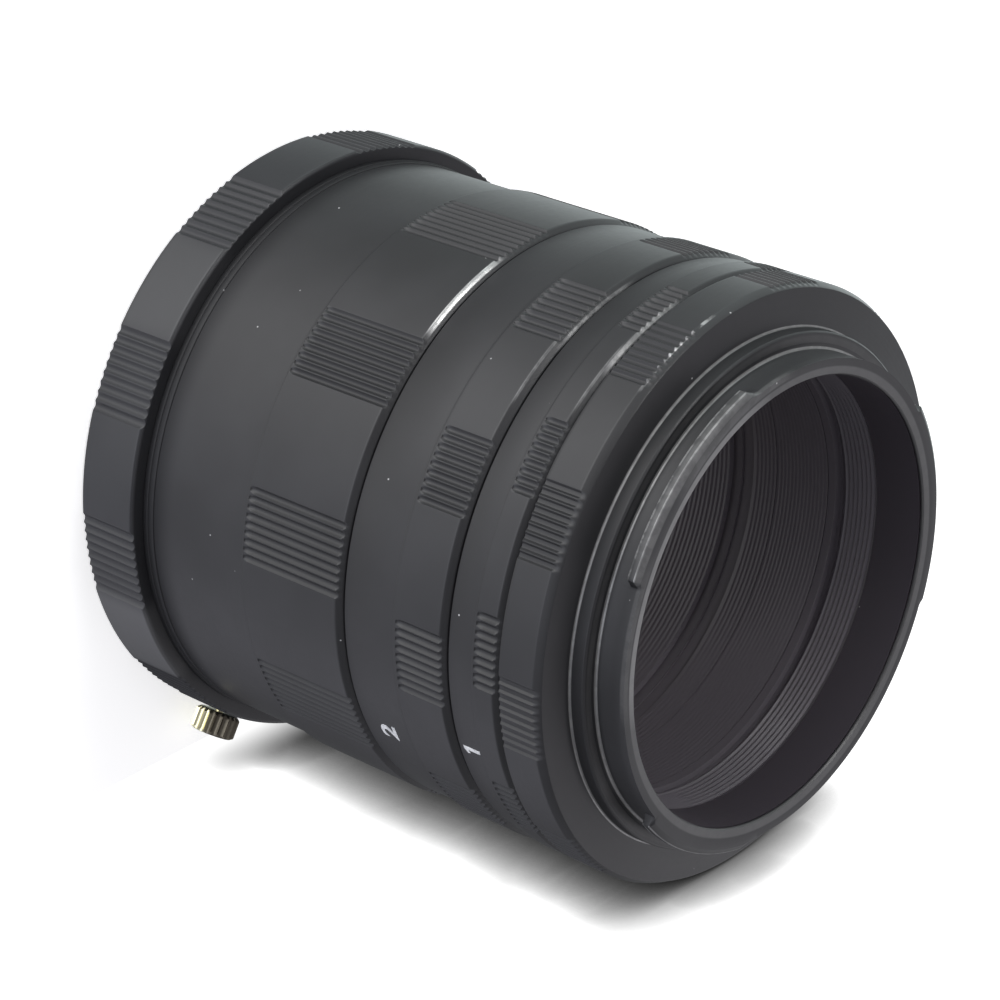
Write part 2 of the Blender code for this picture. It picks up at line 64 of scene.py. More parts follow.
class Wire:
    """One output of a node tree. Arithmetic on it adds Math nodes."""

    def __init__(self, tree, socket):
        self.tree = tree
        self.socket = socket

    def node(self, kind, settings=(), **inputs):
        """Adds a node. Settings are set first, then sockets by name, or by number as _0, _1 and so on."""
        made = self.tree.nodes.new(kind)
        for name, value in dict(settings).items():
            setattr(made, name, value)
        for name, value in inputs.items():
            key = int(name[1:]) if name[0] == "_" else name.replace("_", " ")
            if isinstance(value, Wire):
                self.tree.links.new(value.socket, made.inputs[key])
            else:
                made.inputs[key].default_value = value
        return made

    def out(self, made, key=0):
        return Wire(self.tree, made.outputs[key])

    def into(self, node, key):
        """Links this to a node's input."""
        self.tree.links.new(self.socket, node.inputs[key])

    def place(self):
        """The point in object space, and its x, y and z."""
        point = self.out(self.node("ShaderNodeTexCoord"), "Object")
        split = self.node("ShaderNodeSeparateXYZ", Vector=point)
        return point, *(self.out(split, axis) for axis in range(3))

    def noise(self, place, scale, detail, **more):
        return self.out(self.node("ShaderNodeTexNoise", Vector=place, Scale=scale, Detail=detail, **more))

    def math(self, operation, *values):
        inputs = {f"_{index}": value for index, value in enumerate(values)}
        return self.out(self.node("ShaderNodeMath", {"operation": operation}, **inputs))

    def __add__(self, other):
        return self.math("ADD", self, other)

    def __sub__(self, other):
        return self.math("SUBTRACT", self, other)

    def __mul__(self, other):
        return self.math("MULTIPLY", self, other)

    def __rsub__(self, other):
        return self.math("SUBTRACT", other, self)

    __radd__ = __add__

    def between(self, low, high):
        """0 at low and 1 at high, with a smooth turn at both."""
        settings = {"interpolation_type": "SMOOTHSTEP", "clamp": True}
        made = self.node("ShaderNodeMapRange", settings, Value=self, From_Min=low, From_Max=high)
        return self.out(made)

    def near(self, middle, half, soft):
        """1 within half of the middle, falling to 0 over a soft edge."""
        return 1.0 - self.math("ABSOLUTE", self - middle).between(half, half + soft)

    def mix(self, first, second):
        """A colour that runs from the first to the second as this goes from 0 to 1."""
        # The Mix node's colours are its inputs 6 and 7, and its output 2
        made = self.node("ShaderNodeMix", {"data_type": "RGBA"}, _0=self, _6=first, _7=second)
        return self.out(made, 2)


world = bpy.data.worlds.new("light tent")
world.use_nodes = True
bpy.context.scene.world = world
world_tree = world.node_tree
world_tree.nodes.clear()
sky = Wire(world_tree, None)
direction = sky.out(sky.node("ShaderNodeTexCoord"), "Generated")
# Where each lamp behind the cloth stands, the colour and strength of its patch, and how narrow it is
TENT_LEVEL = 0.05
TENT_LAMPS = (
    ((-0.50, 0.80, -0.30), (1.75, 1.95, 1.95), 10.0),
    ((-0.43, -0.87, -0.25), (3.8, 3.8, 3.85), 9.0),
    ((-1.0, 0.03, -0.05), (1.3, 1.45, 1.45), 9.0),
    ((0.43, -0.89, -0.15), (1.6, 1.65, 1.85), 9.0),
    ((0.88, 0.0, -0.48), (0.8, 0.8, 0.9), 9.0),
    ((0.46, 0.83, 0.32), (0.6, 0.6, 0.62), 9.0),
    ((0.0, 0.72, 0.70), (0.62, 0.6, 0.65), 5.0),
    ((0.76, -0.25, 0.60), (0.24, 0.24, 0.26), 6.0),
    ((-0.36, -0.22, 0.90), (0.75, 0.73, 0.78), 9.0),
    ((0.17, -0.5, -0.85), (0.5, 0.5, 0.52), 9.0),
    ((-0.70, -0.29, 0.65), (14.0, 14.0, 14.0), 140.0),
    ((0.0, -0.20, -0.98), (1.1, 1.1, 1.0), 34.0),
)
tent = sky.out(sky.node("ShaderNodeCombineXYZ", X=TENT_LEVEL, Y=TENT_LEVEL, Z=TENT_LEVEL))
for toward, strength, tightness in TENT_LAMPS:
    lamp = Vector(toward).normalized()
    made = sky.node("ShaderNodeVectorMath", {"operation": "DOT_PRODUCT"}, _0=direction, _1=tuple(lamp))
    facing = sky.out(made, "Value")
    glow = sky.math("EXPONENT", (facing - 1.0) * tightness)
    tent = sky.out(
        sky.node("ShaderNodeVectorMath", {"operation": "MULTIPLY_ADD"}, _0=glow, _1=strength, _2=tent)
    )
background = sky.node("ShaderNodeBackground", Color=tent, Strength=1.0)
sky.node("ShaderNodeOutputWorld", Surface=sky.out(background))


WHITE = (1.0, 1.0, 1.0, 1.0)
FLOOR_GLOW = 0.62
SHADE_POWER = 2.1
SHADE_LEVEL = 1.45
BARE_SHEET = 1.2


def paper_sheet(name, size, matrix, shade_reach=None):
    """A white sheet, clear from behind.

    It takes the object's shadow, or where a reach is given it is shaded within that reach of the object."""
    material = bpy.data.materials.new(name)
    material.use_nodes = True
    material.node_tree.nodes.clear()
    page = Wire(material.node_tree, None)
    if shade_reach is None:
        plain = page.out(page.node("ShaderNodeBsdfDiffuse", Color=(0.9, 0.9, 0.9, 1.0)))
        bright = page.out(page.node("ShaderNodeEmission", Color=WHITE, Strength=FLOOR_GLOW))
        surface = page.out(page.node("ShaderNodeAddShader", _0=plain, _1=bright))
    else:
        crowded = page.node("ShaderNodeAmbientOcclusion", {"samples": 24}, Distance=shade_reach)
        shade = page.math("POWER", page.out(crowded, "AO"), SHADE_POWER) * SHADE_LEVEL
        # Near the lens end of the stack the sheet is left bare
        deep = page.place()[3].between(0.0, 9.0 * MM)
        shade = shade * deep + (1.0 - deep) * BARE_SHEET
        surface = page.out(page.node("ShaderNodeEmission", Color=WHITE, Strength=shade))
    clear = page.out(page.node("ShaderNodeBsdfTransparent"))
    back = page.out(page.node("ShaderNodeNewGeometry"), "Backfacing")
    surface = page.out(page.node("ShaderNodeMixShader", Fac=back, _1=surface, _2=clear))
    page.node("ShaderNodeOutputMaterial", Surface=surface)
    bm = bmesh.new()
    bmesh.ops.create_grid(bm, x_segments=1, y_segments=1, size=size, matrix=matrix)
    mesh = bpy.data.meshes.new(name)
    bm.to_mesh(mesh)
    bm.free()
    mesh.materials.append(material)
    sheet = bpy.data.objects.new(name, mesh)
    bpy.context.scene.collection.objects.link(sheet)
    sheet.visible_diffuse = False
    sheet.visible_glossy = False
    sheet.visible_transmission = False
    sheet.visible_shadow = False


paper_sheet("floor", 15.0, Matrix.Translation((0.0, 0.0, -0.05 * MM)))

# The sheet that the stack lies along in the photograph, shaded only where the stack nearly touches it. It
# touches the wider lens ring and the camera ring, so it leans a little.
LYING_SIDE = 32.5
lying = Matrix.Rotation(math.radians(LYING_SIDE), 4, "Z") @ Matrix.Translation((32.95 * MM, 0.0, 0.0))
paper_sheet("backdrop", 1.5, lying @ Matrix.Rotation(math.radians(-91.4), 4, "Y"), 6.4 * MM)

# ---- Lens ring ----
# The ring on the lens side, turned from aluminium, milled with ten grip patches through its whole height, and
# anodised satin black. The bayonet plate is let into its lower face, and the long tube screws into its top.

STEPS_PER_GROOVE = 9
SMOOTH_STEPS = 14
PATCHES = 10
SECTOR = 360.0 / PATCHES
GROOVES = 9
RUN_IN = 1.1
# How deep a groove's section is at each step away from its middle, and how much of a ridge stands there
GROOVE_SECTION = (1.0, 0.94, 0.76, 0.42, 0.03)
RIDGE_SECTION = (1.0, 0.5, 0.0, 0.0, 0.0)
# Points further in than this below the milled surface stay where they are
MILLED_WALL = 0.9
# A start below everything, for grooves that run through a ring's whole height
WHOLE_HEIGHT = -5.0
# Points nearer to each other than this are merged
WELD = 0.0005 * MM


def outline_of(bm, profile):
    """A closed outline of (radius, height) points in mm. A third number rounds that corner."""
    points = [bm.verts.new((place[0] * MM, 0.0, place[1] * MM)) for place in profile]
    edges = [bm.edges.new(pair) for pair in zip(points, points[1:] + points[:1])]
    for place, corner in zip(profile, points):
        if len(place) > 2:
            bmesh.ops.bevel(
                bm,
                geom=[corner],
                offset=place[2] * MM,
                offset_type="OFFSET",
                segments=2,
                profile=0.5,
                affect="VERTICES",
                material=-1,
            )
    return bm.verts[:] + bm.edges[:]


def turn(profile, stretches, start=0.0, repeats=PATCHES):
    """Spins an outline about Z through (degrees, steps) stretches, then repeats the sector all round."""
    sector = bmesh.new()
    last = outline_of(sector, profile)
    towards = Matrix.Rotation(math.radians(start), 3, "Z")
    bmesh.ops.rotate(sector, verts=sector.verts, cent=(0, 0, 0), matrix=towards)
    for degrees, steps in stretches:
        spun = bmesh.ops.spin(
            sector,
            geom=last,
            cent=(0, 0, 0),
            axis=(0, 0, 1),
            angle=math.radians(degrees),
            steps=steps,
        )
        last = spun["geom_last"]
    mesh = bpy.data.meshes.new("sector")
    sector.to_mesh(mesh)
    sector.free()
    bm = bmesh.new()
    onward = Matrix.Rotation(math.tau / repeats, 3, "Z")
    for _ in range(repeats):
        bmesh.ops.rotate(bm, verts=bm.verts, cent=(0, 0, 0), matrix=onward)
        bm.from_mesh(mesh)
    bpy.data.meshes.remove(mesh)
    bmesh.ops.remove_doubles(bm, verts=bm.verts, dist=WELD)
    bmesh.ops.recalc_face_normals(bm, faces=bm.faces)
    return bm


def mill_grips(bm, middle, pitch, surface, low, cut, ridge=0.0, lowered=0.0):
    """Sinks round-bottomed grooves below the surface radius, from the height low upwards.

    The cut runs in over RUN_IN. A ridge raises the middle of each groove, and lowered sinks a whole patch."""
    for vert in bm.verts:
        radius = math.hypot(vert.co.x, vert.co.y) / MM
        if radius < surface - MILLED_WALL:
            continue
        angle = math.degrees(math.atan2(vert.co.y, vert.co.x)) - middle
        across = (angle + SECTOR / 2) % SECTOR - SECTOR / 2
        groove = max(-(GROOVES // 2), min(GROOVES // 2, round(across / pitch)))
        offset = round(abs(across - groove * pitch) / pitch * STEPS_PER_GROOVE)
        depth = lowered if abs(across) < GROOVES / 2 * pitch else 0.0
        if offset < len(GROOVE_SECTION):
            depth += cut * GROOVE_SECTION[offset] - ridge * RIDGE_SECTION[offset]
        left = 1.0 - (vert.co.z / MM - low) / RUN_IN
        if left > 0.0:
            depth = max(0.0, depth - cut * (1.0 - (1.0 - min(1.0, left) ** 2) ** 0.5))
        if depth > 0.0:
            sunk = min(radius, surface - depth)
            vert.co.x *= sunk / radius
            vert.co.y *= sunk / radius


def grip_stretches(pitch):
    """One patch and the smooth stretch after it."""
    patch = (GROOVES + 1) * pitch
    steps = (GROOVES + 1) * STEPS_PER_GROOVE
    return [(patch, steps), (SECTOR - patch, SMOOTH_STEPS)]


def add_piece(name, bm, material, body, slot, *nodes, sharp=28.0):
    """Makes the object from a finished bmesh, in place, and ties it to its body."""
    mesh = bpy.data.meshes.new(name)
    bm.to_mesh(mesh)
    bm.free()
    mesh.shade_smooth()
    mesh.set_sharp_from_angle(angle=math.radians(sharp))
    mesh.materials.append(material)
    piece = bpy.data.objects.new(name, mesh)
    bpy.context.scene.collection.objects.link(piece)
    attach(piece, body)
    if nodes:
        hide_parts(*nodes)


def shader_of(name):
    """A new material, its Principled node and a Wire to build on."""
    material = bpy.data.materials.new(name)
    material.use_nodes = True
    tree = material.node_tree
    return material, tree.nodes["Principled BSDF"], Wire(tree, None)


ANODISED = (0.018, 0.0181, 0.0193, 1.0)
ANODISED_PALE = (0.024, 0.0242, 0.0258, 1.0)
BARE_METAL = (0.62, 0.62, 0.61, 1.0)
# A dark, dull black that is mixed in as painted shade
PAINTED_SHADE_BLACK = (0.012, 0.012, 0.0135, 1.0)
DUST = (0.75, 0.75, 0.75, 1.0)
DUST_SHARE = 0.13


def anodised(name, edges=(), roughness=0.4, dark=ANODISED, pale=ANODISED_PALE, marking=0.1):
    """Satin black anodising with turning marks, dust, and bare bright edges that are partly rubbed wear and
    partly painted highlights.

    Each edge is (radius, height, reach, angle, half angle, amount, patchiness)."""
    material, shader, wire = shader_of(name)
    place, x, y, z = wire.place()
    height = z * (1.0 / MM)
    radius = wire.math("SQRT", x * x + y * y) * (1.0 / MM)
    angle = wire.math("ARCTAN2", y, x) * math.degrees(1.0)
    cloud = wire.noise(place, 90.0, 3.0)
    grain = wire.noise(place, 1500.0, 2.0)
    ring_place = wire.node("ShaderNodeCombineXYZ", X=radius * 2.5, Y=angle * 0.004, Z=height * 2.5)
    marks = wire.noise(wire.out(ring_place), 4.0, 4.0, Roughness=0.6)
    color = cloud.between(0.35, 0.7).mix(dark, pale)
    rough = roughness + (marks - 0.5) * 0.1 + (grain - 0.5) * 0.06
    metal = None
    # Bare metal on the listed edges: partly rubbed wear, partly painted highlights and sheen where the light
    # catches them
    for around, middle, reach, facing, half, amount, patchy in edges:
        aside, above = radius - around, height - middle
        distance = wire.math("SQRT", aside * aside + above * above)
        rubbed_and_highlit = (1.0 - distance.between(reach * 0.6, reach)) * amount
        if half < 180.0:
            turned = wire.math("PINGPONG", angle - (facing - 180.0) + 360.0, 180.0)
            rubbed_and_highlit = rubbed_and_highlit * turned.between(180.0 - half, 180.0 - half * 0.6)
        scuff = wire.noise(place, 900.0, 3.0)
        rubbed_and_highlit = rubbed_and_highlit * (1.0 - patchy + scuff.between(0.4, 0.6) * patchy)
        metal = rubbed_and_highlit if metal is None else wire.math("MAXIMUM", metal, rubbed_and_highlit)
    cells = wire.node("ShaderNodeTexVoronoi", {"feature": "F1"}, Vector=place, Scale=420.0)
    spot = wire.out(cells, "Distance")
    chance = wire.out(wire.node("ShaderNodeSeparateColor", Color=wire.out(cells, "Color")))
    kept = chance.between(1.0 - DUST_SHARE, 1.001 - DUST_SHARE)
    dust = kept * (1.0 - spot.between(0.02, 0.055))
    color = (dust * 0.7).mix(color, DUST)
    if metal is not None:
        color = metal.mix(color, BARE_METAL)
        rough = rough - metal * 0.15
        metal.into(shader, "Metallic")
    color.into(shader, "Base Color")
    rough.into(shader, "Roughness")
    bump = wire.node("ShaderNodeBump", Strength=marking, Distance=0.02 * MM, Height=marks + grain * 0.5)
    wire.out(bump).into(shader, "Normal")
    return material


def paint_shade(material, mask_at):
    """Paints shade: mixes in a dark, dull black where a mask of the height in mm and the angle in degrees
    says.
    """
    wire = Wire(material.node_tree, None)
    shader = material.node_tree.nodes["Principled BSDF"]
    _, x, y, z = wire.place()
    mask = mask_at(z * (1.0 / MM), wire.math("ARCTAN2", y, x) * math.degrees(1.0))
    painted_shade_look = {"Base_Color": PAINTED_SHADE_BLACK, "Roughness": 0.6, "Specular_IOR_Level": 0.12}
    painted_shade = wire.node("ShaderNodeBsdfPrincipled", **painted_shade_look)
    mixed = wire.node("ShaderNodeMixShader", Fac=mask, _1=wire.out(shader), _2=wire.out(painted_shade))
    wire.out(mixed).into(wire.tree.nodes["Material Output"], "Surface")


LENS_RING_RADIUS = 32.75
LENS_RING_TOP = 7.45
LENS_RING_PITCH = 1.8
LENS_RING_PATCH = 21.5
LENS_RING_CUT = 0.24
LENS_RING_DROP = 0.12
ring_profile = [
    (32.0, 0.0),
    (32.6, 0.0, 0.1),
    (LENS_RING_RADIUS, 0.15, 0.1),
    (LENS_RING_RADIUS, 0.6),
    (LENS_RING_RADIUS, LENS_RING_TOP - 0.55),
    (LENS_RING_RADIUS, LENS_RING_TOP - 0.3, 0.1),
    (32.55, LENS_RING_TOP - 0.12),
    (32.4, LENS_RING_TOP, 0.1),
    (29.1, LENS_RING_TOP, 0.1),
    (28.8, LENS_RING_TOP - 0.3),
    (29.1, LENS_RING_TOP - 0.7),
    (28.8, LENS_RING_TOP - 1.05),
    (29.1, LENS_RING_TOP - 1.45),
    (28.8, LENS_RING_TOP - 1.8),
    (28.8, 5.35),
    (28.5, 5.35),
    (28.5, 1.5),
    (32.0, 1.5),
]
ring_bm = turn(
    ring_profile,
    grip_stretches(LENS_RING_PITCH),
    LENS_RING_PATCH - (GROOVES + 1) / 2 * LENS_RING_PITCH,
)
mill_grips(
    ring_bm,
    LENS_RING_PATCH,
    LENS_RING_PITCH,
    LENS_RING_RADIUS,
    WHOLE_HEIGHT,
    LENS_RING_CUT,
    lowered=LENS_RING_DROP,
)
lens_ring_black = anodised(
    "lens ring black",
    [
        # Not edges: two stretches of the ring's face get a little bare metal as a painted reflection, more at
        # 327.5 degrees than at 255.5
        (32.75, 3.7, 6.2, 327.5, 12.0, 0.1, 0.0),
        (32.75, 3.7, 6.2, 255.5, 12.0, 0.028, 0.0),
    ],
    dark=(0.023, 0.0235, 0.026, 1.0),
    pale=(0.029, 0.0297, 0.0325, 1.0),
)


def ring_painted_shade(height, angle):
    """Painted shade: a little on the top face and more on the grip patch beside the knob."""
    top = height.between(7.3, 7.42)
    return top * 0.35 + (1.0 - top) * angle.near(-14.5, 8.0, 1.2) * 0.65


# Painted shade on the lens ring's top face and on the grip patch beside the knob
paint_shade(lens_ring_black, ring_painted_shade)
add_piece("lens_ring_turned", ring_bm, lens_ring_black, "lens_side", "black_anodised", "lens_ring")

# ---- Bayonet plate ----
# The plate under the lens ring that takes a lens: a flat face, a throat with three lugs inside, four
# countersunk screws and the hole for the lock pin. It is brass, turned and milled, with satin chrome plating.

PLATE_RADIUS = 31.7
THROAT_RADIUS = 27.15
SCREW_CIRCLE = 29.9
SCREW_ANGLES = (45.0, 135.0, 225.0, 315.0)
PIN_CIRCLE = 30.3


def draw_back(bm, root, reach, rises, above):
    """Draws the rows beyond a root radius back to it, except at rises of (foot, full, full, foot) degrees."""
    for vert in bm.verts:
        radius = math.hypot(vert.co.x, vert.co.y) / MM
        if (radius - root) * reach < 0.001 or vert.co.z < above * MM:
            continue
        angle = math.degrees(math.atan2(vert.co.y, vert.co.x))
        stand = 0.0
        for foot, first, last, end in rises:
            turned = (angle - foot) % 360.0
            if turned < end - foot:
                rise = min(1.0, turned / (first - foot), (end - foot - turned) / (end - last))
                stand = max(stand, max(0.0, rise) ** 1.6)
        kept = root + (radius - root) * stand
        vert.co.x *= kept / radius
        vert.co.y *= kept / radius
    bmesh.ops.remove_doubles(bm, verts=bm.verts, dist=WELD)
    bmesh.ops.recalc_face_normals(bm, faces=bm.faces)


def add_copy(bm, other, matrix):
    """Adds one bmesh to another, put in place by a matrix."""
    mesh = bpy.data.meshes.new("copy")
    other.to_mesh(mesh)
    mesh.transform(matrix)
    bm.from_mesh(mesh)
    bpy.data.meshes.remove(mesh)


def carve(bm, cutter):
    """The first solid without the second, as a new bmesh."""
    made = []
    for name, source in (("carved", bm), ("cutter", cutter)):
        mesh = bpy.data.meshes.new(name)
        source.to_mesh(mesh)
        source.free()
        made.append(bpy.data.objects.new(name, mesh))
        bpy.context.scene.collection.objects.link(made[-1])
    boolean = made[0].modifiers.new("Cut", "BOOLEAN")
    boolean.operation = "DIFFERENCE"
    boolean.solver = "EXACT"
    boolean.object = made[1]
    graph = bpy.context.evaluated_depsgraph_get()
    result = bpy.data.meshes.new_from_object(made[0].evaluated_get(graph))
    carved = bmesh.new()
    carved.from_mesh(result)
    bpy.data.meshes.remove(result)
    for obj in made:
        bpy.data.meshes.remove(obj.data)
    return carved


def round_place(radius, angle, height=0.0):
    """A matrix that stands at an angle round the axis, with its X pointing outwards."""
    return Matrix.Rotation(math.radians(angle), 4, "Z") @ Matrix.Translation((radius * MM, 0.0, height * MM))


def metal(name, color, roughness, grain_scale):
    """A bare or plated metal with fine marks in its gloss and a little dirt in its colour."""
    material, shader, wire = shader_of(name)
    shader.inputs["Metallic"].default_value = 1.0
    place, x, y, z = wire.place()
    radius = wire.math("SQRT", x * x + y * y) * (1.0 / MM)
    ring_place = wire.node("ShaderNodeCombineXYZ", X=radius * grain_scale, Y=0.0, Z=z * (grain_scale / MM))
    marks = wire.noise(wire.out(ring_place), 3.0, 5.0)
    cloud = wire.noise(place, 260.0, 4.0)
    dull = tuple(part * 0.6 for part in color[:3]) + (1.0,)
    tint = (cloud.between(0.45, 0.75) * 0.35).mix(color, dull)
    rough = roughness + (marks - 0.5) * 0.12 + cloud.between(0.4, 0.8) * 0.08
    tint.into(shader, "Base Color")
    rough.into(shader, "Roughness")
    bump = wire.node("ShaderNodeBump", Strength=0.1, Distance=0.01 * MM, Height=marks)
    wire.out(bump).into(shader, "Normal")
    return material


plate_bm = turn(
    [
        (THROAT_RADIUS, 0.0, 0.1),
        (PLATE_RADIUS, 0.0, 0.1),
        (PLATE_RADIUS, 1.2),
        (28.2, 1.2),
        (28.2, 3.4),
        (25.4, 3.4, 0.1),
        (25.4, 1.9, 0.1),
        (THROAT_RADIUS, 1.9),
    ],
    [(SECTOR, 72)],
)
# The lugs stand between the windows through which a lens's tabs enter
LUG_RISES = ((-5.5, -5.0, 72.7, 73.2), (128.2, 128.7, 198.1, 198.6), (250.6, 251.1, 310.0, 310.5))
draw_back(plate_bm, THROAT_RADIUS, -1.0, LUG_RISES, 1.5)
holes = bmesh.new()
SMALL_TURN = [(SECTOR, 6)]
countersink = turn([(0.0, -0.5), (1.4, -0.5), (1.4, 0.05), (0.85, 0.8), (0.85, 2.0), (0.0, 2.0)], SMALL_TURN)
for angle in SCREW_ANGLES:
    add_copy(holes, countersink, round_place(SCREW_CIRCLE, angle))
pin_hole = turn([(0.0, -0.5), (0.95, -0.5), (0.95, 2.0), (0.0, 2.0)], SMALL_TURN)
add_copy(holes, pin_hole, round_place(PIN_CIRCLE, 0.0))
plated = metal("satin plating", BARE_METAL, 0.27, 2.0)
add_piece("lens_plate_turned", carve(plate_bm, holes), plated, "lens_side", "plated_plate", "lens_plate")
countersink.free()
pin_hole.free()

# ---- Plate screws ----
# Four small countersunk steel screws with straight slots, each left at the angle where it came tight.

steel = metal("bright steel", (0.58, 0.58, 0.59, 1.0), 0.24, 3.0)
SLOT_TURNS = (20.0, 65.0, -35.0, 110.0)
SLOT_HALF = 0.17
SLOT_DEPTH = 0.3
# Just above the heads' flat faces, which are at 0.1
HEAD_LIMIT = 0.101
for index, (angle, turned) in enumerate(zip(SCREW_ANGLES, SLOT_TURNS)):
    screw = turn(
        [(0.0, 0.1), (1.12, 0.1), (1.2, 0.18), (0.7, 0.85), (0.7, 3.5), (0.6, 3.6), (0.0, 3.6)],
        SMALL_TURN,
    )
    for side in (-1.0, 1.0):
        head = [face for face in screw.faces if face.calc_center_median().z < HEAD_LIMIT * MM]
        parts = list({item for face in head for item in (*face.verts, *face.edges, face)})
        bmesh.ops.bisect_plane(
            screw,
            geom=parts,
            dist=1e-7,
            plane_co=(0.0, side * SLOT_HALF * MM, 0.0),
            plane_no=(0.0, 1.0, 0.0),
        )
    strip = [
        face
        for face in screw.faces
        if face.calc_center_median().z < HEAD_LIMIT * MM
        and abs(face.calc_center_median().y) < SLOT_HALF * MM
    ]
    sunk = bmesh.ops.extrude_face_region(screw, geom=strip)["geom"]
    floor_verts = [item for item in sunk if isinstance(item, bmesh.types.BMVert)]
    bmesh.ops.translate(screw, verts=floor_verts, vec=(0.0, 0.0, SLOT_DEPTH * MM))
    bmesh.ops.delete(screw, geom=strip, context="FACES")
    bmesh.ops.recalc_face_normals(screw, faces=screw.faces)
    place = round_place(SCREW_CIRCLE, angle) @ Matrix.Rotation(math.radians(turned), 4, "Z")
    bmesh.ops.transform(screw, matrix=place, verts=screw.verts)
    name = f"plate_screw_{index + 1}"
    add_piece(f"{name}_turned", screw, steel, "lens_side", "bright_steel", name)

# ---- Springs ----
# Three thin bowed strips of spring steel above the lugs, which press a lens's tabs down. Their CAD pieces are
# shown, and so is that of the lens lock's coil.

spring_steel = metal("spring steel", (0.5, 0.5, 0.52, 1.0), 0.3, 4.0)
for name in ("leaf_spring_1", "leaf_spring_2", "leaf_spring_3", "lock_spring"):
    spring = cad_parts[name]
    spring.data.materials.clear()
    spring.data.materials.append(spring_steel)

# ---- Lens lock ----
# A steel pin that stands in the plate and drops into a lens's slot, pushed out by a coil spring, and the
# fluted brass knob outside the ring that draws it back.

pin_bm = turn(
    [
        (0.0, 0.05),
        (0.7, 0.05),
        (0.8, 0.15),
        (0.8, 2.5),
        (1.0, 2.5),
        (1.0, 4.4),
        (0.3, 4.4),
        (0.3, 4.9),
        (0.0, 4.9),
    ],
    SMALL_TURN,
)
bmesh.ops.transform(pin_bm, matrix=round_place(PIN_CIRCLE, 0.0), verts=pin_bm.verts)
add_piece("lock_pin_turned", pin_bm, steel, "lens_lock", "bright_steel", "lock_pin")

KNOB_HEIGHT = 3.45
KNOB_RADIUS = 2.5
KNOB_REACH = 33.05
KNOB_FLUTES = 20
FLUTE_TURN = 360.0 / KNOB_FLUTES
FLUTE_STEPS = 10
FLUTE_DEPTH = 0.3
knob_bm = turn(
    [
        (0.0, -2.45),
        (0.45, -2.45),
        (0.45, 0.0),
        (2.1, 0.0, 0.05),
        (KNOB_RADIUS - 0.02, 0.3),
        (KNOB_RADIUS, 0.45),
        (KNOB_RADIUS, 2.2),
        (KNOB_RADIUS - 0.02, 2.35),
        (2.1, 2.6, 0.1),
        (0.9, 2.6, 0.08),
        (0.75, 2.5),
        (0.0, 2.5),
    ],
    [(FLUTE_TURN, FLUTE_STEPS)],
    repeats=KNOB_FLUTES,
)
for vert in knob_bm.verts:
    radius = math.hypot(vert.co.x, vert.co.y) / MM
    if radius > 2.3:
        around = math.degrees(math.atan2(vert.co.y, vert.co.x)) % FLUTE_TURN
        wave = abs(around / FLUTE_TURN * 2.0 - 1.0)
        sunk = min(radius, KNOB_RADIUS - FLUTE_DEPTH * (1.0 - wave**2.2))
        vert.co.x *= sunk / radius
        vert.co.y *= sunk / radius
knob_place = Matrix.Translation((KNOB_REACH * MM, 0.0, KNOB_HEIGHT * MM))
lying_down = knob_place @ Matrix.Rotation(math.pi / 2, 4, "Y")
bmesh.ops.transform(knob_bm, matrix=lying_down, verts=knob_bm.verts)
brass = metal("brass", (0.93, 0.88, 0.58, 1.0), 0.16, 1.0)
# Painted shade: its side towards the tubes is browner and rougher
KNOB_SHADE_BROWN = (0.1, 0.085, 0.075, 1.0)
wire = Wire(brass.node_tree, None)
shader = brass.node_tree.nodes["Principled BSDF"]
height = wire.place()[3] * (1.0 / MM)
knob_painted_shade = height.between(KNOB_HEIGHT + 0.2, KNOB_HEIGHT + 1.1)
polish = Wire(brass.node_tree, shader.inputs["Base Color"].links[0].from_socket)
gloss = Wire(brass.node_tree, shader.inputs["Roughness"].links[0].from_socket)
(knob_painted_shade * 0.92).mix(polish, KNOB_SHADE_BROWN).into(shader, "Base Color")
(gloss + knob_painted_shade * 0.25).into(shader, "Roughness")
add_piece("release_knob_knurled", knob_bm, brass, "lens_lock", "brass", "release_knob", sharp=40.0)

# ---- Long tube ----
# The tube marked 3: a smooth rear part, a slightly raised grip band in front, a threaded stub at the rear and
# a threaded recess in front. Its front edge is bare and bright over a stretch of about 25 degrees: partly
# wear, partly a painted highlight where the light catches it.

BORE = 23.4
INNER_WALL = 24.0
# A bore's sleeve reaches a little into the wall behind it
SLEEVE_BACK = INNER_WALL + 0.05
TUBE_PITCH = SECTOR / 22.0
SMOOTH_TURN = [(SECTOR, 36)]


def stub_points(seat):
    """The threaded stub below a seat, from its inner lip round to the seat."""
    return [
        (INNER_WALL, seat - 1.95),
        (28.0, seat - 1.95, 0.15),
        (28.5, seat - 1.65),
        (28.1, seat - 1.3),
        (28.5, seat - 0.95),
        (28.1, seat - 0.6),
        (28.1, seat),
    ]


def recess_points(front):
    """The threaded recess in a front face, from its mouth down to its floor."""
    return [
        (29.1, front, 0.1),
        (28.75, front - 0.35),
        (29.1, front - 0.7),
        (28.75, front - 1.1),
        (29.1, front - 1.45),
        (28.75, front - 1.85),
        (28.75, front - 2.3),
        (INNER_WALL, front - 2.3),
    ]


BODY_RADIUS = 30.95
BAND_RADIUS = 31.35
GROOVE_DEPTH = 0.28


